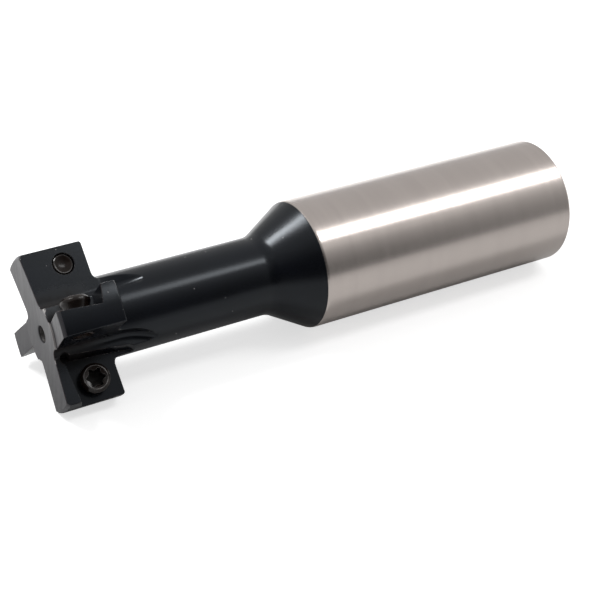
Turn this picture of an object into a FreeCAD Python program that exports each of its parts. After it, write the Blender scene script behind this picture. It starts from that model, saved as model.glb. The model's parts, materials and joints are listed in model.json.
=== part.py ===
"""Indexable T-slot cutter: a one-piece shank, neck and cross-shaped head, with four insert clamping screws.

Row frame, millimetres: the tool axis is X, and the origin lies on it where the parallel shank begins. The head
lies towards -X and the shank's free end towards +X. The tool lies on its side, +Z up.
The cutter body is drawn with arm 1 along its own +Y and arm 2 along its own +Z, then turned about X as it
comes to rest. The empty insert seats face backwards on arms 1 and 3, and forwards on arms 2 and 4.
"""
import FreeCAD, Part
import os
import Sketcher
from FreeCAD import Vector

os.makedirs("parts", exist_ok=True)
doc = FreeCAD.newDocument("t_slot_cutter")

# Driving dimensions, in millimetres and degrees
DIMENSIONS = [
    ("overall_length", 112.5),
    ("shank_dia", 25.4),
    ("shank_length", 58.4),
    ("shank_end_chamfer", 0.7),
    ("shank_front_round", 1.2),
    ("neck_dia", 15.4),
    ("cone_half_angle", 30.0),
    ("cone_root_fillet", 5.0),
    ("head_dia", 29.36),
    ("head_width", 12.0),
    ("head_front_chamfer", 0.5),
    ("head_rear_chamfer", 0.3),
    ("head_neck_fillet", 1.2),
    ("arm_front", 3.2),
    ("arm_back", 4.3),
    ("gullet_corner", 1.5),
    ("gullet_cutter_radius", 15.0),
    ("gullet_overrun", 0.7),
    ("face_dish_angle", 3.6),
    ("face_relief_angle", 6.5),
    ("hub_radius", 6.8),
    ("front_hole_dia", 2.9),
    ("front_hole_depth", 7.0),
    ("front_hole_chamfer", 0.3),
    ("rear_centre_dia", 5.3),
    ("rear_centre_pilot", 2.5),
    ("rear_centre_depth", 7.0),
    ("centre_half_angle", 30.0),
    ("drill_point_half_angle", 59.0),
    ("seat_depth", 4.04),
    ("seat_inset", 4.5),
    ("seat_axial_rake", 5.0),
    ("insert_circle", 9.525),
    ("insert_thickness", 3.97),
    ("insert_side_angle", 7.0),
    ("insert_lead_angle", 5.0),
    ("seat_play", 0.03),
    ("seat_corner_dia", 2.0),
    ("rear_seat_overrun", 4.2),
    ("rear_seat_end_radius", 1.5),
    ("screw_dia", 4.0),
    ("screw_play", 0.03),
    ("screw_pull", 0.35),
    ("screw_head_dia", 5.9),
    ("screw_head_top_dia", 4.7),
    ("screw_head_bevel", 0.6),
    ("screw_head_band", 0.5),
    ("screw_cone_half_angle", 30.0),
    ("screw_tail_dia", 3.65),
    ("screw_tail_length", 0.75),
    ("screw_tail_chamfer", 0.4),
    ("screw_tail_inset", 0.05),
    ("drive_core_dia", 2.4),
    ("drive_lobe_dia", 0.85),
    ("drive_tip_dia", 3.35),
    ("drive_depth", 1.8),
]
sheet = doc.addObject("Spreadsheet::Sheet", "dims")
for row, (alias, size) in enumerate(DIMENSIONS, start=1):
    sheet.set("A%d" % row, alias)
    sheet.set("B%d" % row, str(size))
    sheet.setAlias("B%d" % row, alias)
doc.recompute()

# How far a cut reaches into open air past the surface that it crosses
AIR = "6"
ARM_COUNT = 4
LOBE_COUNT = 6

# Places and sizes that several features share, as expressions on the sheet
HEAD_FRONT = "(dims.shank_length - dims.overall_length)"
HEAD_REAR = "(dims.shank_length - dims.overall_length + dims.head_width)"
HEAD_RADIUS = "(dims.head_dia / 2)"
NECK_RADIUS = "(dims.neck_dia / 2)"
SHANK_RADIUS = "(dims.shank_dia / 2)"
FACE_EDGE = "(dims.head_dia / 2 - dims.head_front_chamfer)"
DISH = "tan(dims.face_dish_angle * 1 deg)"
RELIEF = "tan(dims.face_relief_angle * 1 deg)"
CONE = "tan(dims.cone_half_angle * 1 deg)"
SHANK_CORNER = "(-dims.shank_front_round * tan(dims.cone_half_angle * 0.5 deg))"
CONE_FRONT = "(%s - (%s - %s) / %s)" % (SHANK_CORNER, SHANK_RADIUS, NECK_RADIUS, CONE)
RAKE = "(dims.seat_axial_rake * 1 deg)"
LEAD = "(dims.insert_lead_angle * 1 deg)"
SEAT_RADIUS = "(dims.head_dia / 2 - dims.seat_depth)"
SEAT_HALF = ("(dims.insert_circle / 2 - dims.insert_thickness * tan(dims.insert_side_angle * 1 deg)"
             " + dims.seat_play)")
SEAT_HEIGHT = "(dims.arm_front + dims.head_width * tan%s)" % RAKE
SCREW_CONE_HEIGHT = "((dims.screw_head_dia - dims.screw_dia) / 2 / tan(dims.screw_cone_half_angle * 1 deg))"
SCREW_TOP = "(%s + dims.screw_head_band + dims.screw_head_bevel)" % SCREW_CONE_HEIGHT
SCREW_TIP = "(dims.screw_tail_inset - (dims.arm_back - dims.screw_pull * sin%s) / cos%s)" % (RAKE, RAKE)
# The turn about X at which both lower arms touch the ground together
LIE_ANGLE = ("atan((sqrt(dims.head_dia ^ 2 / 4 - dims.arm_front ^ 2) - dims.arm_back)"
             " / (sqrt(dims.head_dia ^ 2 / 4 - dims.arm_back ^ 2) - dims.arm_front))")


def size_of(expression):
    """The present value of an expression on the sheet."""
    return float(sheet.evalExpression(expression))


def origin_feature(body, role):
    """The body's own origin plane or axis of that role."""
    for feature in body.Origin.OriginFeatures:
        if feature.Role == role:
            return feature
    raise ValueError("no origin feature " + role)


def new_sketch(body, name, role, x="0", z="0", tilt=None):
    """A sketch on an origin plane, moved along its own x and z by expressions and tilted about its own y."""
    sketch = body.newObject("Sketcher::SketchObject", name)
    sketch.AttachmentSupport = [(origin_feature(body, role), "")]
    sketch.MapMode = "FlatFace"
    if tilt:
        sketch.AttachmentOffset = FreeCAD.Placement(Vector(0, 0, 0), FreeCAD.Rotation(Vector(0, 1, 0), 1))
        sketch.setExpression("AttachmentOffset.Rotation.Angle", tilt)
    sketch.setExpression("AttachmentOffset.Base.x", x)
    sketch.setExpression("AttachmentOffset.Base.z", z)
    return sketch


def hold(sketch, geometry, vertex, x, y):
    """Hold a vertex of the sketch at x, y, both given as expressions."""
    for kind, place in (("DistanceX", x), ("DistanceY", y)):
        number = sketch.addConstraint(
            Sketcher.Constraint(kind, -1, 1, geometry, vertex, size_of(place)))
        sketch.setExpression("Constraints[%d]" % number, place)


def outline(sketch, corners, arc_from=None, arc_centre=None):
    """A closed outline through corners given as pairs of expressions, with straight sides.

    The side that starts at the corner numbered arc_from is an anticlockwise arc about arc_centre instead."""
    points = [Vector(size_of(x), size_of(y), 0) for x, y in corners]
    last = len(corners) - 1
    for side, start in enumerate(points):
        end = points[0] if side == last else points[side + 1]
        if side != arc_from:
            sketch.addGeometry(Part.LineSegment(start, end), False)
            continue
        centre = Vector(size_of(arc_centre[0]), size_of(arc_centre[1]), 0)
        circle = Part.Circle(centre, Vector(0, 0, 1), (start - centre).Length)
        sketch.addGeometry(Part.ArcOfCircle(circle, circle.parameter(start), circle.parameter(end)), False)
    for side, (x, y) in enumerate(corners):
        before = last if side == 0 else side - 1
        sketch.addConstraint(Sketcher.Constraint("Coincident", before, 2, side, 1))
        hold(sketch, side, 1, x, y)
    if arc_centre:
        number = sketch.addConstraint(
            Sketcher.Constraint("DistanceX", -1, 1, arc_from, 3, size_of(arc_centre[0])))
        sketch.setExpression("Constraints[%d]" % number, arc_centre[0])


def round_hole(sketch, x, y, diameter):
    """A circle in the sketch, its centre and diameter given as expressions."""
    centre = Vector(size_of(x), size_of(y), 0)
    circle = sketch.addGeometry(Part.Circle(centre, Vector(0, 0, 1), size_of(diameter) / 2), False)
    hold(sketch, circle, 3, x, y)
    number = sketch.addConstraint(Sketcher.Constraint("Diameter", circle, size_of(diameter)))
    sketch.setExpression("Constraints[%d]" % number, diameter)


def turned(body, kind, name, sketch, axis, angle=360):
    """A Revolution or Groove of the sketch about one of its own axes, half of the angle to each side."""
    feature = body.newObject("PartDesign::" + kind, name)
    feature.Profile = sketch
    feature.ReferenceAxis = (sketch, [axis])
    feature.Angle = angle
    feature.Midplane = angle < 360
    doc.recompute()
    return feature


def pocket(body, name, sketch, depth, taper=None, reverse=False):
    """A pocket of the sketch to a depth, checked to have taken metal away."""
    before = body.Shape.Volume
    feature = body.newObject("PartDesign::Pocket", name)
    feature.Profile = sketch
    feature.Type = "Length"
    feature.Reversed = reverse
    feature.setExpression("Length", depth)
    if taper:
        feature.setExpression("TaperAngle", taper)
    doc.recompute()
    if body.Shape.Volume >= before:
        raise ValueError(name + " cuts nothing")
    return feature


def pattern(body, name, originals, axis, count):
    """Copies of features, evenly spaced round one of the body's own axes; the pattern becomes the body's tip."""
    feature = body.newObject("PartDesign::PolarPattern", name)
    feature.Originals = originals
    feature.Axis = (origin_feature(body, axis), [""])
    feature.Angle = 360
    feature.Occurrences = count
    body.Tip = feature
    doc.recompute()
    return feature


def rounding(body, name, radius, chosen):
    """A fillet on every edge of the body that the chosen test picks."""
    base = body.Tip
    edges = ["Edge%d" % number for number, edge in enumerate(base.Shape.Edges, start=1) if chosen(edge)]
    feature = body.newObject("PartDesign::Fillet", name)
    feature.Base = (base, edges)
    feature.setExpression("Radius", radius)
    doc.recompute()
    return feature


def is_circle(edge, axial_place, radius):
    """Whether the edge is a circle of that radius about X or Z, that far along the axis."""
    curve = edge.Curve
    if not isinstance(curve, Part.Circle):
        return False
    return abs(curve.Center.Length - abs(axial_place)) < 1e-4 and abs(curve.Radius - radius) < 1e-4


def in_gullet_corner(edge):
    """Whether the edge runs where a gullet's floor meets its wall."""
    floor, wall = size_of("dims.arm_front"), size_of("dims.arm_back")
    span = edge.LastParameter - edge.FirstParameter
    heights = [sorted((abs(point.y), abs(point.z)))
               for point in (edge.valueAt(edge.FirstParameter + span * share) for share in (0, 0.5, 1))]
    on_floor = all(abs(low - floor) < 1e-4 and high > wall - 1e-4 for low, high in heights)
    starts_on_wall = min(high for low, high in heights) < wall + 1e-4
    return on_floor and starts_on_wall and edge.BoundBox.XLength > 1


def cutter_body():
    """Shank, cone, neck and cross-shaped head, ground from one bar."""
    body = doc.addObject("PartDesign::Body", "cutter_body")
    turn_blank(body)
    mill_gullets(body)
    relief = relieve_face(body)
    rear_seat = mill_seat(body, "rear", "XY_Plane", 1)
    front_seat = mill_seat(body, "front", "XZ_Plane", -1)
    pattern(body, "opposite_arms", [relief] + rear_seat + front_seat, "X_Axis", ARM_COUNT // 2)
    body.setExpression("Placement", "placement(vector(0; 0; 0); rotationx(%s))" % LIE_ANGLE)
    return body


def turn_blank(body):
    """The turned form, with a dished front face, a drilled hole in each end, and its three roundings."""
    drill_point = " / 2 / tan(dims.drill_point_half_angle * 1 deg)"
    mouth_radius = "(dims.front_hole_dia / 2 + dims.front_hole_chamfer)"
    front_hole_face = "(%s + %s * (%s - %s))" % (HEAD_FRONT, DISH, FACE_EDGE, mouth_radius)
    front_hole_end = "(%s + dims.front_hole_depth)" % front_hole_face
    rear_hole_end = "(dims.shank_length - dims.rear_centre_depth)"
    rear_cone_end = ("(dims.shank_length - (dims.rear_centre_dia - dims.rear_centre_pilot) / 2"
                     " / tan(dims.centre_half_angle * 1 deg))")
    sketch = new_sketch(body, "blank_outline", "XZ_Plane")
    outline(sketch, [
        (front_hole_end + " + dims.front_hole_dia" + drill_point, "0"),
        (front_hole_end, "dims.front_hole_dia / 2"),
        (front_hole_face + " + dims.front_hole_chamfer", "dims.front_hole_dia / 2"),
        (front_hole_face, mouth_radius),
        (HEAD_FRONT, FACE_EDGE),
        (HEAD_FRONT + " + dims.head_front_chamfer", HEAD_RADIUS),
        (HEAD_REAR + " - dims.head_rear_chamfer", HEAD_RADIUS),
        (HEAD_REAR, HEAD_RADIUS + " - dims.head_rear_chamfer"),
        (HEAD_REAR, NECK_RADIUS),
        (CONE_FRONT, NECK_RADIUS),
        (SHANK_CORNER, SHANK_RADIUS),
        ("dims.shank_length - dims.shank_end_chamfer", SHANK_RADIUS),
        ("dims.shank_length", SHANK_RADIUS + " - dims.shank_end_chamfer"),
        ("dims.shank_length", "dims.rear_centre_dia / 2"),
        (rear_cone_end, "dims.rear_centre_pilot / 2"),
        (rear_hole_end, "dims.rear_centre_pilot / 2"),
        (rear_hole_end + " - dims.rear_centre_pilot" + drill_point, "0"),
    ])
    turned(body, "Revolution", "blank", sketch, "H_Axis")
    for name, radius, place, circle in (
            ("head_neck_fillet", "dims.head_neck_fillet", size_of(HEAD_REAR), size_of(NECK_RADIUS)),
            ("cone_root_fillet", "dims.cone_root_fillet", size_of(CONE_FRONT), size_of(NECK_RADIUS)),
            ("shank_front_round", "dims.shank_front_round", size_of(SHANK_CORNER), size_of(SHANK_RADIUS))):
        rounding(body, name, radius, lambda edge: is_circle(edge, place, circle))


def mill_gullets(body):
    """The four gullets between the arms, each with a flat floor, a flat wall and a run-out on the neck."""
    run_out = HEAD_REAR + " + dims.gullet_overrun"
    outer = HEAD_RADIUS + " + " + AIR
    arc_top = "dims.arm_back + dims.gullet_cutter_radius"
    sketch = new_sketch(body, "gullet_outline", "XY_Plane", z="-dims.arm_front")
    outline(sketch, [
        (HEAD_FRONT + " - " + AIR, "dims.arm_back"),
        (run_out, "dims.arm_back"),
        (run_out + " + dims.gullet_cutter_radius", arc_top),
        (run_out + " + dims.gullet_cutter_radius", arc_top + " + " + AIR),
        (HEAD_FRONT + " - " + AIR, arc_top + " + " + AIR),
    ], arc_from=1, arc_centre=(run_out, arc_top))
    gullet = pocket(body, "gullet", sketch, outer)
    pattern(body, "gullets", [gullet], "X_Axis", ARM_COUNT)
    rounding(body, "gullet_corners", "dims.gullet_corner", in_gullet_corner)


def relieve_face(body):
    """The steeper front face of arm 2, which leaves the hub standing proud."""
    sketch = new_sketch(body, "relief_outline", "XZ_Plane")
    outline(sketch, [
        (HEAD_FRONT + " - " + AIR, "dims.hub_radius"),
        ("%s + %s * (%s - dims.hub_radius)" % (HEAD_FRONT, RELIEF, FACE_EDGE), "dims.hub_radius"),
        (HEAD_FRONT, FACE_EDGE),
        (HEAD_FRONT + " - " + AIR, FACE_EDGE),
    ])
    return turned(body, "Groove", "face_relief", sketch, "H_Axis", 360 / ARM_COUNT)


def mill_seat(body, name, plane, side):
    """An insert seat, open to the rear where side is 1 or to the front where it is -1, with its screw hole.

    The insert is a rhomb whose corner is twice the lead angle short of square. Its seat has a floor tilted by
    the axial rake, two locating walls that lean out with the insert's sides, and a relief hole where they meet.
    In the sketches, x runs along the tilted floor from the insert's middle and y is the distance from the tool
    axis. The screw hole is a little nearer the side wall, so that the screw pulls the insert home."""
    place = "%s - %d * dims.seat_inset" % (HEAD_REAR if side > 0 else HEAD_FRONT, side)
    tilt = "%d * dims.seat_axial_rake" % side

    def along(distance):
        """A distance from the insert's middle towards the seat's open end, as a sketch x."""
        return "%d * (%s)" % (side, distance)

    def inner_wall(distance):
        return "(%s + ((%s) * sin%s - %s) / cos%s)" % (SEAT_RADIUS, distance, LEAD, SEAT_HALF, LEAD)

    corner = "%s / (cos%s - sin%s)" % (SEAT_HALF, LEAD, LEAD)
    inner_corner = SEAT_RADIUS + " - " + corner
    outer = HEAD_RADIUS + " + " + AIR
    side_wall_outer = "((%s - %s) * sin%s - %s) / cos%s" % (outer, SEAT_RADIUS, LEAD, SEAT_HALF, LEAD)
    seat_outline = new_sketch(body, name + "_seat_outline", plane, x=place, tilt=tilt)
    if side > 0:
        # The cutter stops in the neck and leaves its own radius there
        end = "(dims.seat_inset + dims.rear_seat_overrun)"
        centre_x = "(%s - dims.rear_seat_end_radius)" % end
        centre_y = "(%s + dims.rear_seat_end_radius / cos%s)" % (inner_wall(centre_x), LEAD)
        outline(seat_outline, [
            (along("-" + corner), inner_corner),
            (along(centre_x + " + dims.rear_seat_end_radius * sin" + LEAD),
             centre_y + " - dims.rear_seat_end_radius * cos" + LEAD),
            (along(end), centre_y),
            (along(end), outer),
            (along(side_wall_outer), outer),
        ], arc_from=1, arc_centre=(along(centre_x), centre_y))
    else:
        end = "(dims.seat_inset + %s)" % AIR
        outline(seat_outline, [
            (along("-" + corner), inner_corner),
            (along(end), inner_wall(end)),
            (along(end), outer),
            (along(side_wall_outer), outer),
        ])
    seat = pocket(body, name + "_seat", seat_outline, SEAT_HEIGHT, taper="dims.insert_side_angle")

    corner_outline = new_sketch(body, name + "_corner_outline", plane, x=place, tilt=tilt)
    round_hole(corner_outline, along("-" + corner), inner_corner, "dims.seat_corner_dia")
    corner_relief = pocket(body, name + "_corner", corner_outline, SEAT_HEIGHT)

    hole_outline = new_sketch(body, name + "_hole_outline", plane, x=place, tilt=tilt)
    round_hole(hole_outline, along("-dims.screw_pull"), SEAT_RADIUS, "dims.screw_dia + 2 * dims.screw_play")
    hole = pocket(body, name + "_hole", hole_outline, "dims.arm_back + " + AIR, reverse=True)
    return [seat, corner_relief, hole]


def insert_screw(number, side):
    """A clamping screw in the seat of the arm of that number, its own +Z pointing out of its head."""
    body = doc.addObject("PartDesign::Body", "insert_screw_%d" % number)
    tail_top = "(%s + dims.screw_tail_length)" % SCREW_TIP
    sketch = new_sketch(body, "screw_outline", "XZ_Plane")
    outline(sketch, [
        ("0", SCREW_TIP),
        ("dims.screw_tail_dia / 2 - dims.screw_tail_chamfer", SCREW_TIP),
        ("dims.screw_tail_dia / 2", SCREW_TIP + " + dims.screw_tail_chamfer"),
        ("dims.screw_tail_dia / 2", tail_top),
        ("dims.screw_dia / 2", tail_top + " + (dims.screw_dia - dims.screw_tail_dia) / 2"),
        ("dims.screw_dia / 2", "0"),
        ("dims.screw_head_dia / 2", SCREW_CONE_HEIGHT),
        ("dims.screw_head_dia / 2", SCREW_CONE_HEIGHT + " + dims.screw_head_band"),
        ("dims.screw_head_top_dia / 2", SCREW_TOP),
        ("0", SCREW_TOP),
    ])
    turned(body, "Revolution", "screw_blank", sketch, "V_Axis")

    core_outline = new_sketch(body, "drive_core_outline", "XY_Plane", z=SCREW_TOP)
    round_hole(core_outline, "0", "0", "dims.drive_core_dia")
    pocket(body, "drive_core", core_outline, "dims.drive_depth")
    lobe_outline = new_sketch(body, "drive_lobe_outline", "XY_Plane", z=SCREW_TOP)
    round_hole(lobe_outline, "(dims.drive_tip_dia - dims.drive_lobe_dia) / 2", "0", "dims.drive_lobe_dia")
    lobe = pocket(body, "drive_lobe", lobe_outline, "dims.drive_depth")
    pattern(body, "drive_lobes", [lobe], "Z_Axis", LOBE_COUNT)

    arm_turn = "(%s + %g deg)" % (LIE_ANGLE, (number - 1) * 360 / ARM_COUNT)
    place = "(%s - %d * dims.seat_inset)" % (HEAD_REAR if side > 0 else HEAD_FRONT, side)
    body.setExpression(
        "Placement",
        "placement(vector(0; 0; 0); rotationx(%s))"
        " * placement(vector(%s; %s; 0); rotationy(180 + %d * dims.seat_axial_rake))"
        " * placement(vector(%d * dims.screw_pull; 0; 0); rotationx(0))"
        % (arm_turn, place, SEAT_RADIUS, side, side))
    return body


def write_parts(bodies):
    """Check every object and shape, then write one STEP file for each body."""
    doc.recompute()
    for item in doc.Objects:
        if "Invalid" in item.State or "Error" in item.State:
            raise ValueError("%s failed: %s" % (item.Name, item.State))
    for body in bodies:
        if body.Shape.isNull() or not body.Shape.isValid() or len(body.Shape.Solids) != 1:
            raise ValueError(body.Label + " has no valid single solid")
    for body in bodies:
        body.Shape.exportStep("parts/%s.step" % body.Label)
        print("%s %.1f mm3" % (body.Label, body.Shape.Volume))


cutter = cutter_body()
screws = [insert_screw(number, 1 if number % 2 else -1) for number in range(1, ARM_COUNT + 1)]
write_parts([cutter] + screws)
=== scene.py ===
"""Looks of the indexable T-slot cutter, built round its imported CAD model.

Everything is in metres in the CAD model's own frame: the tool axis is X, the head lies towards -X, the
shank's free end towards +X, and +Z is up.
"""
import json
import math

import bmesh
import bpy
from bpy.props import FloatProperty, FloatVectorProperty, PointerProperty
from mathutils import Matrix, Vector


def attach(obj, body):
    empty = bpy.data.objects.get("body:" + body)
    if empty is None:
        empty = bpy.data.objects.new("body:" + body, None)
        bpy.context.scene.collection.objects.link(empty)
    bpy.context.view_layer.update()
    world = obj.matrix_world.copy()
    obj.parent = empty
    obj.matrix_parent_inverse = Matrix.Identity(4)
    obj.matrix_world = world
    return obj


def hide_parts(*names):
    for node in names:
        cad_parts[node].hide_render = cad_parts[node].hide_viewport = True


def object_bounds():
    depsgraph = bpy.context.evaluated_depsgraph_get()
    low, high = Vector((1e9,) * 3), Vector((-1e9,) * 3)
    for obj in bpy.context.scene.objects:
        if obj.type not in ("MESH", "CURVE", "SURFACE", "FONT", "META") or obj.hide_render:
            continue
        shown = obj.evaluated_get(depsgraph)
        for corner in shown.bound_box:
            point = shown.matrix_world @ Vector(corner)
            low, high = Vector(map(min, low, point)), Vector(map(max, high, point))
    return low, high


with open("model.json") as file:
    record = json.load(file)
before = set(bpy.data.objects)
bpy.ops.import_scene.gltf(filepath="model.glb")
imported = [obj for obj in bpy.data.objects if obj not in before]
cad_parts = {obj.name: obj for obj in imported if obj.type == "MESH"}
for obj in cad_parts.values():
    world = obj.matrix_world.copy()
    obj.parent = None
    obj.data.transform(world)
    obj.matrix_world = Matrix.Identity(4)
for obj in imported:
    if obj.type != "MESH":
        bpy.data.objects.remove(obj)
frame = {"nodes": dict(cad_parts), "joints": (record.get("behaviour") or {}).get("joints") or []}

bl_info = {
    "name": "T-slot Cutter Looks",
    "version": (1, 0, 0),
    "blender": (4, 5, 0),
    "location": "3D View > Sidebar > Cutter",
    "description": "Blackened and ground finishes, clamping screws and a small studio for the T-slot cutter",
    "category": "Object",
}

CAD_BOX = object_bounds()
SCREW_COUNT = 4

# How the copy of the body's mesh is joined, cleaned and cut
MERGE_DISTANCE = 2e-6
FLAT_ANGLE = math.radians(0.4)
CUT_TOLERANCE = 1e-7

# Edges sharper than the first angle are broken. Shading is smooth up to the first angle on the body, and up
# to the second on a screw.
CRISP_ANGLE = math.radians(24)
SCREW_SMOOTH_ANGLE = math.radians(30)

# How far behind the head's front end its rims, and its ground faces, can lie
RIM_DEPTH = 0.0009
FACE_DEPTH = 0.002

# How far inside and outside the hub's radius the faces of its step lie
STEP_INSIDE = 0.0001
STEP_OUTSIDE = 0.0003

# The X part of a face's normal: under the first it is ground flat, over the second it belongs to the step
FLAT_NORMAL = -0.98
STEP_NORMAL = -0.95

# The drilled hole's wall lies within this share of its radius
HOLE_SHARE = 1.02

# The screw's drive: points on the arc of each lobe and each hollow, and how far its floor dips in the middle
POINTS_PER_ARC = 4
DRIVE_DIP = 0.0003

# The small round on the edges of the screw's head, which starts at a share of the mouth's radius, and the
# depth under the head's top down to which the round gets more bare steel: worn rim and painted highlight
HEAD_ROUND = 0.00008
ROUND_FROM = 0.99
RIM_WEAR_AND_HIGHLIGHT_DEPTH = 0.0001

# Heights above the screw's tail end: where the shank stops, where the plain tail starts, and where the small
# round at its end starts and stops
SHANK_STOP = 0.0010
TAIL_START = 0.0006
TAIL_ROUND = 0.0001
TAIL_LIP = 0.00001

# Rings of the cup in the tail's end, as shares of its radius
CUP_RINGS = (0.96, 0.8, 0.6, 0.4, 0.2)

# Material slots of the body, and of a screw
BLACK, GROUND, FRONT, PAINTED_LIGHT_STEP, DRILLED = range(5)
OUTSIDE, DRIVE, RIM_WEAR_AND_HIGHLIGHT, CUP = range(4)

# How far the floor reaches on each side, and the hair's breadth between it and the tool
FLOOR_REACH = 3.0
FLOOR_GAP = 0.00002

# The camera's sensor, in millimetres, and the distances between which it sees, in metres
SENSOR_WIDTH = 36.0
NEAREST = 0.01
FARTHEST = 20.0


def colour(name, description, default):
    """A colour property with three channels."""
    return FloatVectorProperty(name=name, description=description, subtype="COLOR", size=3, min=0, max=1,
                               default=default)


def length(name, description, default):
    """A length property in metres."""
    return FloatProperty(name=name, description=description, unit="LENGTH", subtype="DISTANCE", precision=5,
                         default=default)


class BodySettings(bpy.types.PropertyGroup):
    """Sizes and colours of the cutter body's finish."""
    edge_break: length("Edge break", "Width of the small break on every machined edge", 0.00012)
    black_end: length("Black end", "Where the black finish ends, along the tool axis", -0.0005)
    oxide: colour("Oxide", "The blackened steel of head, neck and cone", (0.0016, 0.0020, 0.0034))
    gloss_tint: colour("Gloss tint", "The cool tint of the blackened steel's gloss", (0.87, 0.935, 1.0))
    oxide_face: colour("Oxide on ground faces", "The greyer black of the ground front faces",
                       (0.024, 0.023, 0.027))
    # Painted light: the hub's step is coloured light grey so that the shade on its wall shows no dark line
    step_painted_light: colour("Painted light step", "The small step round the hub, painted light so that its shaded wall blends in",
                   (0.26, 0.25, 0.245))
    hub_radius: length("Hub radius", "Radius of the hub that stands proud of the arms' front faces", 0.0068)
    hole_radius: length("Hole radius", "Radius of the drilled hole in the head's front face", 0.00145)
    rust: colour("Brown edge", "The brownish line where the black is thin", (0.10, 0.05, 0.035))
    residue: colour("Residue", "The dull brown residue in the corners round the hub",
                    (0.0060, 0.0036, 0.0025))
    bare_steel: colour("Bare steel", "Steel that shows through worn edges", (0.45, 0.43, 0.42))
    ground_steel: colour("Ground steel", "The ground shank", (0.60, 0.54, 0.505))


class ScrewSettings(bpy.types.PropertyGroup):
    """Sizes and colours of a clamping screw, measured from the seat floor along its own axis."""
    shank_radius: length("Shank radius", "Radius of the screw's threaded shank", 0.0020)
    head_radius: length("Head radius", "Largest radius of the screw head", 0.00277)
    top_radius: length("Top radius", "Radius of the head's flat top", 0.00221)
    cone_height: length("Cone height", "Height of the countersunk cone", 0.0016454)
    band_height: length("Band height", "Height of the head's round band", 0.0005)
    bevel_height: length("Bevel height", "Height of the bevel at the head's top", 0.0006)
    drive_depth: length("Drive depth", "Depth of the six-lobe drive", 0.0017)
    drive_tip_radius: length("Drive tip radius", "Radius across the six lobes", 0.00188)
    drive_root_radius: length("Drive root radius", "Radius between the lobes", 0.00136)
    lobe_radius: length("Lobe radius", "Rounding of a lobe's tip", 0.00034)
    mouth_radius: length("Mouth radius", "Radius of the countersink round the drive", 0.00209)
    mouth_sink: length("Mouth sink", "How far the countersink drops to the hollows between the lobes",
                       0.00030)
    tail_radius: length("Tail radius", "Radius of the screw's tail", 0.001825)
    cup_radius: length("Cup radius", "Radius of the cup in the tail's end", 0.0016)
    cup_depth: length("Cup depth", "Depth of the cup in the tail's end", 0.00038)
    tail_end: length("Tail end", "How far the tail's end lies from the seat floor", 0.004236)
    black: colour("Screw black", "The brownish black of the screws", (0.008, 0.0048, 0.0036))


class StageSettings(bpy.types.PropertyGroup):
    """The studio: camera, floor and lamps."""
    camera_place: FloatVectorProperty(
        name="Camera place", description="Where the camera stands", unit="LENGTH", size=3, precision=5,
        default=(-0.13516, -0.21560, 0.15755))
    camera_right: FloatVectorProperty(
        name="Camera right", description="Direction of the picture's right edge", subtype="DIRECTION", size=3,
        default=(0.8594, -0.5095, 0.0440))
    camera_up: FloatVectorProperty(
        name="Camera up", description="Direction of the picture's top edge", subtype="DIRECTION", size=3,
        default=(0.2470, 0.4889, 0.8367))
    lens: FloatProperty(name="Lens", description="Focal length", subtype="DISTANCE_CAMERA", default=91.89)
    floor_colour: colour("Floor", "The pale floor", (0.66, 0.66, 0.66))
    key_power: FloatProperty(
        name="Key power", description="Power of the overhead lamp", unit="POWER", default=1.15)
    back_power: FloatProperty(
        name="Back power", description="Power of the lamp behind the cone", unit="POWER", default=1.5)


class CutterSettings(bpy.types.PropertyGroup):
    """All settings of the cutter."""
    body: PointerProperty(type=BodySettings)
    screw: PointerProperty(type=ScrewSettings)
    stage: PointerProperty(type=StageSettings)


# Shader nodes

def fill_sockets(tree, node, sockets):
    """Set a node's sockets to values, or link them to other nodes' outputs."""
    for key, value in sockets.items():
        if isinstance(value, bpy.types.NodeSocket):
            tree.links.new(value, node.inputs[key])
        else:
            node.inputs[key].default_value = value


def add_node(tree, kind, sockets=None, **settings):
    """Add a shader node, with its settings and its sockets."""
    made = tree.nodes.new("ShaderNode" + kind)
    for name, value in settings.items():
        setattr(made, name, value)
    fill_sockets(tree, made, sockets or {})
    return made


def maths(tree, operation, first, second=0.0):
    """The result of a Math node."""
    return add_node(tree, "Math", {0: first, 1: second}, operation=operation).outputs[0]


def average(tree, first, second):
    """The mean of two values."""
    return maths(tree, "MULTIPLY", maths(tree, "ADD", first, second), 0.5)


def stretched(tree, place, factors):
    """Coordinates multiplied by a factor along each axis."""
    return add_node(tree, "VectorMath", {0: place, 1: factors}, operation="MULTIPLY").outputs[0]


def noise(tree, place, scale, detail):
    """A noise value at a place."""
    return add_node(tree, "TexNoise", {"Vector": place, "Scale": scale, "Detail": detail}).outputs[0]


def spread(tree, value, low, high, to_low=0.0, to_high=1.0):
    """A value taken smoothly from one range to another."""
    made = add_node(tree, "MapRange", {0: value, 1: low, 2: high, 3: to_low, 4: to_high},
                    interpolation_type="SMOOTHSTEP")
    return made.outputs[0]


def mixed(tree, share, first, second):
    """Two colours mixed by a share."""
    made = add_node(tree, "Mix", {0: share, 6: first, 7: second}, data_type="RGBA")
    return made.outputs[2]


def opaque(rgb, brightness=1.0):
    """A colour with full alpha, made lighter or darker."""
    return (rgb[0] * brightness, rgb[1] * brightness, rgb[2] * brightness, 1.0)


def bumped(tree, shader, height, distance, strength):
    """Give a shader a fine relief."""
    bump = add_node(tree, "Bump", {"Height": height, "Distance": distance, "Strength": strength})
    tree.links.new(bump.outputs[0], shader.inputs["Normal"])


def effect_group(name, inputs, outputs):
    """A new shader node group with named inputs and outputs, and the nodes at its two ends."""
    tree = bpy.data.node_groups.new(name, "ShaderNodeTree")
    for label, kind, default in inputs:
        tree.interface.new_socket(label, in_out="INPUT", socket_type=kind).default_value = default
    for label, kind in outputs:
        tree.interface.new_socket(label, in_out="OUTPUT", socket_type=kind)
    return tree, tree.nodes.new("NodeGroupInput").outputs, tree.nodes.new("NodeGroupOutput").inputs


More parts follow.
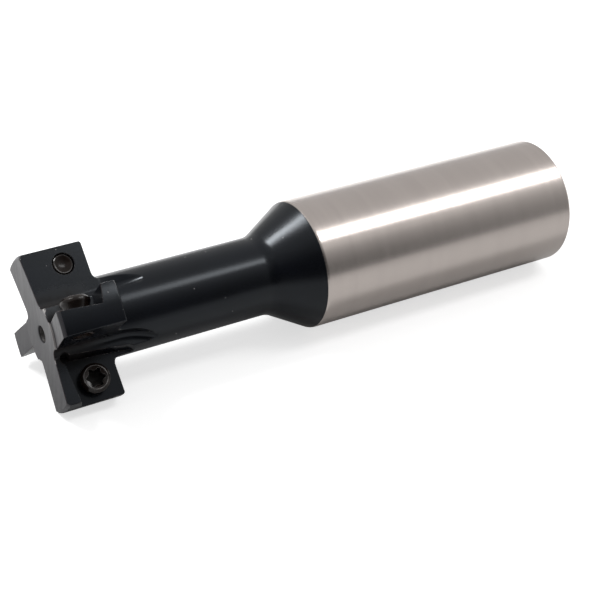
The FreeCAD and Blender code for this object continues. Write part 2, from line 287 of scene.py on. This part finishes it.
def use_group(tree, group, sockets):
    """Place an effect group in a material and return its outputs."""
    made = tree.nodes.new("ShaderNodeGroup")
    made.node_tree = group
    fill_sockets(tree, made, sockets)
    return made.outputs


def worn_edges_group():
    """A mask that is 1 along outer and inner edges, broken up by noise."""
    tree, inlet, outlet = effect_group(
        "worn_edges",
        [("Vector", "NodeSocketVector", (0, 0, 0)), ("Width", "NodeSocketFloat", 0.0002),
         ("Breakup Scale", "NodeSocketFloat", 900.0), ("Breakup", "NodeSocketFloat", 0.5)],
        [("Mask", "NodeSocketFloat")])
    rounded = add_node(tree, "Bevel", {"Radius": inlet["Width"]}, samples=8)
    plain = add_node(tree, "NewGeometry")
    facing = add_node(tree, "VectorMath", {0: rounded.outputs[0], 1: plain.outputs["Normal"]},
                      operation="DOT_PRODUCT").outputs["Value"]
    edge = spread(tree, facing, 0.995, 0.80)
    patchy = spread(tree, noise(tree, inlet["Vector"], inlet["Breakup Scale"], detail=3.0), 0.38, 0.62)
    kept = maths(tree, "SUBTRACT", 1.0, maths(tree, "MULTIPLY", inlet["Breakup"], patchy))
    tree.links.new(maths(tree, "MULTIPLY", edge, kept), outlet["Mask"])
    return tree


def light_specks_group():
    """A mask of small scattered specks, where dust or bare metal shows."""
    tree, inlet, outlet = effect_group(
        "light_specks",
        [("Vector", "NodeSocketVector", (0, 0, 0)), ("Scale", "NodeSocketFloat", 900.0),
         ("Size", "NodeSocketFloat", 0.16), ("Share", "NodeSocketFloat", 0.3)],
        [("Mask", "NodeSocketFloat")])
    cells = add_node(tree, "TexVoronoi", {"Vector": inlet["Vector"], "Scale": inlet["Scale"]})
    chance = add_node(tree, "SeparateColor", {0: cells.outputs["Color"]})
    picked = maths(tree, "LESS_THAN", chance.outputs[0], inlet["Share"])
    reach = maths(tree, "MULTIPLY", inlet["Size"], chance.outputs[1])
    spot = maths(tree, "LESS_THAN", cells.outputs["Distance"], reach)
    tree.links.new(maths(tree, "MULTIPLY", picked, spot), outlet["Mask"])
    return tree


def corner_residue_group():
    """A mask for the greasy residue in the inner corners round the hub, between the arms."""
    tree, inlet, outlet = effect_group(
        "corner_residue",
        [("Vector", "NodeSocketVector", (0, 0, 0)), ("Reach", "NodeSocketFloat", 0.0078)],
        [("Mask", "NodeSocketFloat")])
    raggedness = 0.0025
    clean_beyond, full_within = 0.0020, -0.0010
    clean_behind, full_ahead = -0.0425, -0.0490
    axes = add_node(tree, "SeparateXYZ", {0: inlet["Vector"]}).outputs
    radius = maths(tree, "SQRT", maths(tree, "ADD", maths(tree, "MULTIPLY", axes["Y"], axes["Y"]),
                                       maths(tree, "MULTIPLY", axes["Z"], axes["Z"])))
    cloud = noise(tree, inlet["Vector"], scale=700.0, detail=3.0)
    ragged = maths(tree, "ADD", radius, maths(tree, "MULTIPLY", cloud, raggedness))
    inner = spread(tree, maths(tree, "SUBTRACT", ragged, inlet["Reach"]), clean_beyond, full_within)
    front = spread(tree, axes["X"], clean_behind, full_ahead)
    tree.links.new(maths(tree, "MULTIPLY", inner, front), outlet["Mask"])
    return tree


def grinding_lines_group():
    """Fine lines across one direction, as a height and a tone; the stretch vector says how long they run."""
    tree, inlet, outlet = effect_group(
        "grinding_lines",
        [("Vector", "NodeSocketVector", (0, 0, 0)), ("Stretch", "NodeSocketVector", (1, 0.02, 0.02)),
         ("Scale", "NodeSocketFloat", 9000.0)],
        [("Height", "NodeSocketFloat"), ("Tone", "NodeSocketFloat")])
    coarse_share = 0.12
    drawn = stretched(tree, inlet["Vector"], inlet["Stretch"])
    fine = noise(tree, drawn, inlet["Scale"], detail=2.0)
    coarse = noise(tree, drawn, maths(tree, "MULTIPLY", inlet["Scale"], coarse_share), detail=3.0)
    tree.links.new(fine, outlet["Height"])
    tree.links.new(average(tree, fine, coarse), outlet["Tone"])
    return tree


def effects():
    """The shared effect groups, made once."""
    builders = {"worn_edges": worn_edges_group, "light_specks": light_specks_group,
                "corner_residue": corner_residue_group, "grinding_lines": grinding_lines_group}
    return {name: bpy.data.node_groups.get(name) or build() for name, build in builders.items()}


# Materials

def new_material(name):
    """A material with a Principled shader, and its object coordinates."""
    material = bpy.data.materials.new(name)
    material.use_nodes = True
    tree = material.node_tree
    shader = tree.nodes["Principled BSDF"]
    place = tree.nodes.new("ShaderNodeTexCoord").outputs["Object"]
    return material, tree, shader, place


def blackened_steel(settings):
    """Satin blue-black oxide, with thin brownish edges, bare nicks and light specks."""
    material, tree, shader, place = new_material("blackened_steel")
    groups = effects()
    cloud = noise(tree, place, scale=140.0, detail=4.0)
    grain = noise(tree, place, scale=5200.0, detail=3.0)
    flecks = noise(tree, place, scale=1500.0, detail=2.0)
    edge = use_group(tree, groups["worn_edges"], {"Vector": place, "Width": 0.00022})["Mask"]
    specks = use_group(tree, groups["light_specks"], {"Vector": place, "Scale": 700.0, "Size": 0.08})["Mask"]
    residue = use_group(tree, groups["corner_residue"], {"Vector": place})["Mask"]
    clean = mixed(tree, spread(tree, cloud, 0.35, 0.7), opaque(settings.oxide),
                  opaque(settings.oxide, brightness=1.7))
    tone = mixed(tree, residue, clean, opaque(settings.residue))
    browned = mixed(tree, maths(tree, "MULTIPLY", edge, 0.8), tone, opaque(settings.rust))
    nicks = maths(tree, "MULTIPLY", edge, spread(tree, flecks, 0.48, 0.58))
    bare = maths(tree, "MAXIMUM", nicks, maths(tree, "MULTIPLY", specks, 0.6))
    tree.links.new(mixed(tree, bare, browned, opaque(settings.bare_steel)), shader.inputs["Base Color"])
    satin = spread(tree, grain, 0.3, 0.7, 0.22, 0.26)
    dulled = maths(tree, "ADD", satin, maths(tree, "MULTIPLY", residue, 0.4))
    tree.links.new(dulled, shader.inputs["Roughness"])
    shader.inputs["IOR"].default_value = 1.41
    shader.inputs["Specular Tint"].default_value = opaque(settings.gloss_tint)
    bumped(tree, shader, grain, distance=0.0000005, strength=0.1)
    return material


def blackened_face(name, oxide, edge_colour):
    """A ground front face under a thin, greyer oxide, with its edges in another colour. On the hub's step
    both colours are a light grey, painted light that hides the shade on its wall.
    """
    material, tree, shader, place = new_material(name)
    groups = effects()
    cloud = noise(tree, place, scale=260.0, detail=5.0)
    lines = use_group(tree, groups["grinding_lines"], {
        "Vector": place, "Stretch": (1.0, 1.0, 0.05), "Scale": 7000.0})
    edge = use_group(tree, groups["worn_edges"], {"Vector": place, "Width": 0.00028, "Breakup": 0.6})["Mask"]
    tone = mixed(tree, spread(tree, cloud, 0.3, 0.7), opaque(oxide), opaque(oxide, brightness=1.35))
    tree.links.new(mixed(tree, edge, tone, opaque(edge_colour)), shader.inputs["Base Color"])
    tree.links.new(spread(tree, lines["Tone"], 0.3, 0.7, 0.30, 0.42), shader.inputs["Roughness"])
    shader.inputs["IOR"].default_value = 1.5
    bumped(tree, shader, lines["Height"], distance=0.000004, strength=0.3)
    return material


def ground_steel(settings):
    """The shank: bright steel with fine lines left round it by the grinding wheel."""
    material, tree, shader, place = new_material("ground_steel")
    groups = effects()
    lines = use_group(tree, groups["grinding_lines"], {
        "Vector": place, "Stretch": (1.0, 0.006, 0.006), "Scale": 14000.0})
    bands = noise(tree, stretched(tree, place, (1.0, 0.05, 0.05)), scale=420.0, detail=2.0)
    shade = spread(tree, average(tree, lines["Tone"], bands), 0.36, 0.64)
    darker = opaque(settings.ground_steel, brightness=0.95)
    tree.links.new(mixed(tree, shade, darker, opaque(settings.ground_steel)), shader.inputs["Base Color"])
    tree.links.new(spread(tree, lines["Tone"], 0.35, 0.65, 0.228, 0.272), shader.inputs["Roughness"])
    shader.inputs["Metallic"].default_value = 1.0
    bumped(tree, shader, lines["Height"], distance=0.0000006, strength=0.2)
    return material


def drive_painted_shade():
    """Painted shade: the dull near-black deep inside a screw's drive, mottled with a dusty brown."""
    material, tree, shader, place = new_material("drive_painted_shade")
    cloud = noise(tree, place, scale=1500.0, detail=3.0)
    # Painted shade: the drive's recess is coloured near-black, mottled by a dusty brown
    shade_black = opaque((0.001, 0.001, 0.001))
    dusty = opaque((0.006, 0.004, 0.003))
    tree.links.new(mixed(tree, cloud, shade_black, dusty), shader.inputs["Base Color"])
    tree.links.new(spread(tree, cloud, 0.3, 0.7, 0.55, 0.75), shader.inputs["Roughness"])
    shader.inputs["Specular IOR Level"].default_value = 0.25
    return material


def screw_black(settings, name, wear_and_highlight, ior=1.4):
    """The brownish black of the screws and of the drilled hole's wall.

    The third argument is the share of bare steel that shows beside the worn edges: real wear, and on the
    head's rim also a painted highlight; a lower ior gives a weaker gloss.
    """
    material, tree, shader, place = new_material(name)
    groups = effects()
    cloud = noise(tree, place, scale=900.0, detail=4.0)
    edge = use_group(tree, groups["worn_edges"], {
        "Vector": place, "Width": 0.00018, "Breakup Scale": 1200.0, "Breakup": 0.7})["Mask"]
    tone = mixed(tree, spread(tree, cloud, 0.35, 0.65), opaque(settings.screw.black),
                 opaque(settings.screw.black, brightness=1.5))
    patches = spread(tree, cloud, 0.30, 0.60, wear_and_highlight * 0.3, wear_and_highlight)
    bare = maths(tree, "MAXIMUM", patches, maths(tree, "MULTIPLY", edge, 0.6))
    tree.links.new(mixed(tree, bare, tone, opaque(settings.body.bare_steel)), shader.inputs["Base Color"])
    tree.links.new(spread(tree, cloud, 0.3, 0.7, 0.18, 0.30), shader.inputs["Roughness"])
    shader.inputs["IOR"].default_value = ior
    bumped(tree, shader, cloud, distance=0.000003, strength=0.25)
    return material


# Pieces

def finish_piece(made, name, materials, smooth_angle):
    """Turn a bmesh into a piece, smooth up to an angle, with its materials."""
    mesh = bpy.data.meshes.new(name)
    made.to_mesh(mesh)
    made.free()
    for material in materials:
        mesh.materials.append(material)
    mesh.polygons.foreach_set("use_smooth", [True] * len(mesh.polygons))
    mesh.set_sharp_from_angle(angle=smooth_angle)
    piece = bpy.data.objects.new(name, mesh)
    bpy.context.scene.collection.objects.link(piece)
    weighting = piece.modifiers.new("flat_faces", "WEIGHTED_NORMAL")
    weighting.keep_sharp = True
    weighting.weight = 100
    return piece


def body_slot(face, settings):
    """The material slot of a face of the body, from where it lies and which way it looks."""
    middle = face.calc_center_median()
    radius = middle.yz.length
    in_rim = middle.x < CAD_BOX[0].x + RIM_DEPTH
    on_step = -STEP_INSIDE < radius - settings.hub_radius < STEP_OUTSIDE
    if middle.x > settings.black_end:
        return GROUND
    if radius < settings.hole_radius * HOLE_SHARE and middle.x < 0:
        return DRILLED
    # The hub's step gets a light grey: painted light that hides the shade on its wall
    if in_rim and on_step and face.normal.x > STEP_NORMAL:
        return PAINTED_LIGHT_STEP
    if in_rim or (face.normal.x < FLAT_NORMAL and middle.x < CAD_BOX[0].x + FACE_DEPTH):
        return FRONT
    return BLACK


class CUTTER_OT_body(bpy.types.Operator):
    """Dress the cutter body in its blackened and ground finishes, with every edge a little broken"""
    bl_idname = "cutter.body"
    bl_label = "Cutter body"

    def execute(self, context):
        settings = context.scene.cutter_settings
        body = settings.body
        made = bmesh.new()
        made.from_mesh(frame["nodes"]["cutter_body"].data)
        bmesh.ops.remove_doubles(made, verts=made.verts, dist=MERGE_DISTANCE)
        bmesh.ops.dissolve_limit(made, angle_limit=FLAT_ANGLE, verts=made.verts, edges=made.edges)
        bmesh.ops.bisect_plane(made, geom=made.verts[:] + made.edges[:] + made.faces[:], dist=CUT_TOLERANCE,
                               plane_co=(body.black_end, 0, 0), plane_no=(1, 0, 0))
        crisp = [edge for edge in made.edges if edge.is_manifold and edge.calc_face_angle() > CRISP_ANGLE]
        bmesh.ops.bevel(made, geom=crisp, offset=body.edge_break, offset_type="OFFSET", segments=2,
                        profile=0.5, affect="EDGES", clamp_overlap=False, material=-1)
        for face in made.faces:
            face.material_index = body_slot(face, body)
        materials = [blackened_steel(body), ground_steel(body),
                     blackened_face("blackened_face", body.oxide_face, body.rust),
                     blackened_face("painted_light_step", body.step_painted_light, body.step_painted_light),
                     screw_black(settings, "drilled_wall", wear_and_highlight=0.3)]
        piece = finish_piece(made, "blackened_cutter", materials, CRISP_ANGLE)
        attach(piece, "cutter")
        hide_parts("cutter_body")
        return {"FINISHED"}


def lobe_outline(settings, per_arc):
    """Points round the six-lobe drive: a lobe's round tip, then the hollow between it and the next."""
    tip, root, tip_round = settings.drive_tip_radius, settings.drive_root_radius, settings.lobe_radius
    half = math.radians(30)
    tip_centre = tip - tip_round
    hollow_round = ((tip_round ** 2 - tip_centre ** 2 - root ** 2 + 2 * tip_centre * root * math.cos(half))
                    / (2 * (root - tip_centre * math.cos(half) - tip_round)))
    hollow_centre = root + hollow_round
    lean = math.atan2(hollow_centre * math.sin(half), hollow_centre * math.cos(half) - tip_centre)
    points = []
    for lobe in range(6):
        turn = math.radians(60 * lobe)
        for step in range(per_arc):
            angle = lean * (2 * step / per_arc - 1)
            points.append(Matrix.Rotation(turn, 3, "Z") @ Vector((
                tip_centre + tip_round * math.cos(angle), tip_round * math.sin(angle), 0)))
        opening = lean - half
        for step in range(per_arc):
            angle = math.pi - opening * (2 * step / per_arc - 1)
            points.append(Matrix.Rotation(turn + half, 3, "Z") @ Vector((
                hollow_centre + hollow_round * math.cos(angle), hollow_round * math.sin(angle), 0)))
    return points


def ring(made, points):
    """New vertices at the points, joined in a closed loop of edges."""
    verts = [made.verts.new(point) for point in points]
    return [made.edges.new((verts[i - 1], vert)) for i, vert in enumerate(verts)]


def drawn_out(made, edges, place):
    """Extrude a closed loop of edges, move each new point to its place, and return the new loop."""
    grown = bmesh.ops.extrude_edge_only(made, edges=edges)["geom"]
    verts = {item for item in grown if isinstance(item, bmesh.types.BMVert)}
    for vert in verts:
        vert.co = place(vert.co)
    return [item for item in grown if isinstance(item, bmesh.types.BMEdge) and verts.issuperset(item.verts)]


def screw_outline(settings, top, end):
    """Radius and height of each ring outside the screw, from the drive's mouth to the middle of the cup."""
    cone_top = settings.cone_height
    band_top = cone_top + settings.band_height
    head = [(settings.mouth_radius, top), (settings.top_radius, top), (settings.head_radius, band_top),
            (settings.head_radius, cone_top)]
    shank = [(settings.shank_radius, 0.0), (settings.shank_radius, end + SHANK_STOP)]
    tail = [(settings.tail_radius, end + TAIL_START), (settings.tail_radius, end + TAIL_ROUND),
            (settings.tail_radius - TAIL_ROUND, end + TAIL_LIP)]
    cup = [(settings.cup_radius * share, end + settings.cup_depth * (1 - share ** 2)) for share in CUP_RINGS]
    return head + shank + tail + cup


def screw_mesh(settings):
    """A clamping screw along +Z, with a countersunk drive and a cupped tail, as rolling leaves it."""
    made = bmesh.new()
    top = settings.cone_height + settings.band_height + settings.bevel_height
    end = -settings.tail_end
    slope = settings.mouth_sink / (settings.mouth_radius - settings.drive_root_radius)
    mouth = ring(made, [point + Vector((0, 0, top - slope * (settings.mouth_radius - point.length)))
                        for point in lobe_outline(settings, POINTS_PER_ARC)])
    loop = mouth
    for radius, height in screw_outline(settings, top, end):
        loop = drawn_out(made, loop, lambda place: (
            place.xy.normalized().to_3d() * radius + Vector((0, 0, height))))
    bmesh.ops.edgeloop_fill(made, edges=loop)
    outside = set(made.faces)
    floor_edges = drawn_out(made, mouth, lambda place: Vector((
        place.x, place.y, top - settings.drive_depth)))
    floor = bmesh.ops.edgeloop_fill(made, edges=floor_edges)["faces"]
    centre = bmesh.ops.poke(made, faces=floor)["verts"]
    bmesh.ops.translate(made, verts=centre, vec=(0, 0, -DRIVE_DIP))
    # Faces inside the drive get the material of painted shade
    for face in made.faces:
        face.material_index = OUTSIDE if face in outside else DRIVE
    bmesh.ops.recalc_face_normals(made, faces=made.faces)
    round_from = settings.mouth_radius * ROUND_FROM
    sharp = [edge for edge in made.edges if edge.calc_face_angle(0) > CRISP_ANGLE
             and all(vert.co.z > 0 and vert.co.xy.length > round_from for vert in edge.verts)]
    rounded = bmesh.ops.bevel(made, geom=sharp, offset=HEAD_ROUND, offset_type="OFFSET", segments=2,
                              profile=0.5, affect="EDGES", clamp_overlap=True, material=-1)["faces"]
    # The round at the head's top gets more bare steel: wear, and a painted highlight along the rim
    for face in rounded:
        if face.calc_center_median().z > top - RIM_WEAR_AND_HIGHLIGHT_DEPTH:
            face.material_index = RIM_WEAR_AND_HIGHLIGHT
    for face in made.faces:
        middle = face.calc_center_median()
        if middle.z < end + settings.cup_depth and middle.xy.length < settings.cup_radius:
            face.material_index = CUP
    return made


class CUTTER_OT_screws(bpy.types.Operator):
    """Model the four clamping screws with their six-lobe drives"""
    bl_idname = "cutter.screws"
    bl_label = "Clamping screws"

    def execute(self, context):
        settings = context.scene.cutter_settings
        # The third material, with more bare steel, is wear on the head's rim and a painted highlight there
        # too
        materials = [screw_black(settings, "screw_black", wear_and_highlight=0.0), drive_painted_shade(),
                     screw_black(settings, "rim_wear_and_highlight", wear_and_highlight=0.45),
                     screw_black(settings, "dull_cup", wear_and_highlight=0.0, ior=1.29)]
        joints = {joint["child"]: joint for joint in frame["joints"]}
        for number in range(1, SCREW_COUNT + 1):
            joint = joints["screw_%d" % number]
            made = screw_mesh(settings.screw)
            turn = Vector(joint["axis"]).to_track_quat("Z", "Y").to_matrix().to_4x4()
            bmesh.ops.transform(made, matrix=Matrix.Translation(joint["pos_m"]) @ turn, verts=made.verts)
            piece = finish_piece(made, "clamping_screw_%d" % number, materials, SCREW_SMOOTH_ANGLE)
            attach(piece, "screw_%d" % number)
            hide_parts("insert_screw_%d" % number)
        return {"FINISHED"}


# Stage

def floor_material(settings):
    """A pale, dull floor that the camera sees white, and glossy metal too on the side behind the tool."""
    seen_glow = 0.65
    mirrored_glow = 0.7
    glow_from, glow_to = -0.02, 0.07
    material = bpy.data.materials.new("pale_floor")
    material.use_nodes = True
    tree = material.node_tree
    tree.nodes.clear()
    plain = add_node(tree, "BsdfDiffuse", {"Color": opaque(settings.floor_colour)})
    rays = add_node(tree, "LightPath")
    depth = add_node(tree, "SeparateXYZ", {0: add_node(tree, "TexCoord").outputs["Object"]}).outputs["Y"]
    behind = spread(tree, depth, glow_from, glow_to, 0.0, mirrored_glow)
    lift = maths(tree, "ADD", maths(tree, "MULTIPLY", rays.outputs["Is Camera Ray"], seen_glow),
                 maths(tree, "MULTIPLY", rays.outputs["Is Glossy Ray"], behind))
    glow = add_node(tree, "Emission", {"Color": (1, 1, 1, 1), "Strength": lift})
    both = add_node(tree, "AddShader", {0: plain.outputs[0], 1: glow.outputs[0]})
    out = add_node(tree, "OutputMaterial")
    tree.links.new(both.outputs[0], out.inputs["Surface"])
    return material


def soft_lamp(scene, name, power, size, place, target):
    """A rectangular lamp at a place that shines at a target."""
    lamp = bpy.data.lights.new(name, "AREA")
    lamp.shape = "RECTANGLE"
    lamp.size, lamp.size_y = size
    lamp.energy = power
    direction = Vector(target) - Vector(place)
    turn = direction.to_track_quat("-Z", "Y").to_matrix().to_4x4()
    holder = bpy.data.objects.new(name, lamp)
    holder.matrix_world = Matrix.Translation(place) @ turn
    scene.collection.objects.link(holder)


class CUTTER_OT_stage(bpy.types.Operator):
    """Set up the floor, the lamps, the world and the camera"""
    bl_idname = "cutter.stage"
    bl_label = "Studio stage"

    def execute(self, context):
        settings = context.scene.cutter_settings.stage
        scene = context.scene
        self.floor(scene, settings)
        self.world(scene)
        self.lamps(scene, settings)
        self.camera(scene, settings)
        scene.view_settings.view_transform = "Standard"
        return {"FINISHED"}

    def floor(self, scene, settings):
        """A wide pale floor that the tool lies on."""
        made = bmesh.new()
        bmesh.ops.create_grid(made, x_segments=1, y_segments=1, size=FLOOR_REACH)
        bmesh.ops.translate(made, verts=made.verts, vec=(0, 0, CAD_BOX[0].z - FLOOR_GAP))
        mesh = bpy.data.meshes.new("pale_floor")
        made.to_mesh(mesh)
        made.free()
        mesh.materials.append(floor_material(settings))
        piece = bpy.data.objects.new("pale_floor", mesh)
        scene.collection.objects.link(piece)

    def world(self, scene):
        """A studio that is pale behind the tool and dim on the camera's side; the camera sees it white."""
        towards_back = (0.3, 1.0, 0.0)
        dim_until, pale_from = -0.9, -0.25
        dim, pale = 0.06, 0.6
        world = bpy.data.worlds.new("studio")
        scene.world = world
        world.use_nodes = True
        tree = world.node_tree
        tree.nodes.clear()
        direction = add_node(tree, "TexCoord").outputs["Generated"]
        depth = add_node(tree, "VectorMath", {0: direction, 1: towards_back}, operation="DOT_PRODUCT")
        level = spread(tree, depth.outputs["Value"], dim_until, pale_from, dim, pale)
        rays = add_node(tree, "LightPath")
        strength = maths(tree, "MAXIMUM", level, rays.outputs["Is Camera Ray"])
        sky = add_node(tree, "Background", {"Color": (1, 1, 1, 1), "Strength": strength})
        out = add_node(tree, "OutputWorld")
        tree.links.new(sky.outputs[0], out.inputs["Surface"])

    def lamps(self, scene, settings):
        """A long lamp overhead, which draws the stripe along neck and shank, and one behind the cone."""
        soft_lamp(scene, "overhead", settings.key_power, size=(0.48, 0.125),
                  place=(0.382, -0.151, 0.480), target=(0.382, 0, 0))
        soft_lamp(scene, "back_left", settings.back_power, size=(0.16, 0.12),
                  place=(-0.215, 0.215, 0.415), target=(-0.01, 0, 0))

    def camera(self, scene, settings):
        """The camera at the photograph's viewing angle."""
        data = bpy.data.cameras.new("camera")
        data.sensor_width = SENSOR_WIDTH
        data.lens = settings.lens
        data.clip_start = NEAREST
        data.clip_end = FARTHEST
        right = Vector(settings.camera_right).normalized()
        up = Vector(settings.camera_up)
        up = (up - right * up.dot(right)).normalized()
        turn = Matrix((right, up, right.cross(up))).transposed().to_4x4()
        camera = bpy.data.objects.new("camera", data)
        camera.matrix_world = Matrix.Translation(settings.camera_place) @ turn
        scene.collection.objects.link(camera)
        scene.camera = camera


class CUTTER_PT_panel(bpy.types.Panel):
    """The cutter's pieces and settings, in the sidebar"""
    bl_idname = "CUTTER_PT_panel"
    bl_label = "T-slot Cutter"
    bl_space_type = "VIEW_3D"
    bl_region_type = "UI"
    bl_category = "Cutter"

    def draw(self, context):
        settings = context.scene.cutter_settings
        for title, group, operator in (
                ("Body", settings.body, CUTTER_OT_body), ("Screws", settings.screw, CUTTER_OT_screws),
                ("Stage", settings.stage, CUTTER_OT_stage)):
            box = self.layout.box()
            box.label(text=title)
            for name in group.__annotations__:
                box.prop(group, name)
            box.operator(operator.bl_idname)


CLASSES = (BodySettings, ScrewSettings, StageSettings, CutterSettings, CUTTER_OT_body, CUTTER_OT_screws,
           CUTTER_OT_stage, CUTTER_PT_panel)


def register():
    """Register the classes, and put the settings on the scene."""
    for item in CLASSES:
        bpy.utils.register_class(item)
    bpy.types.Scene.cutter_settings = PointerProperty(type=CutterSettings)


def unregister():
    """Take the settings and the classes away again."""
    del bpy.types.Scene.cutter_settings
    for item in reversed(CLASSES):
        bpy.utils.unregister_class(item)


def main():
    """Register the add-on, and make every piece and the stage."""
    register()
    bpy.ops.cutter.body()
    bpy.ops.cutter.screws()
    bpy.ops.cutter.stage()


if __name__ == "__main__":
    main()
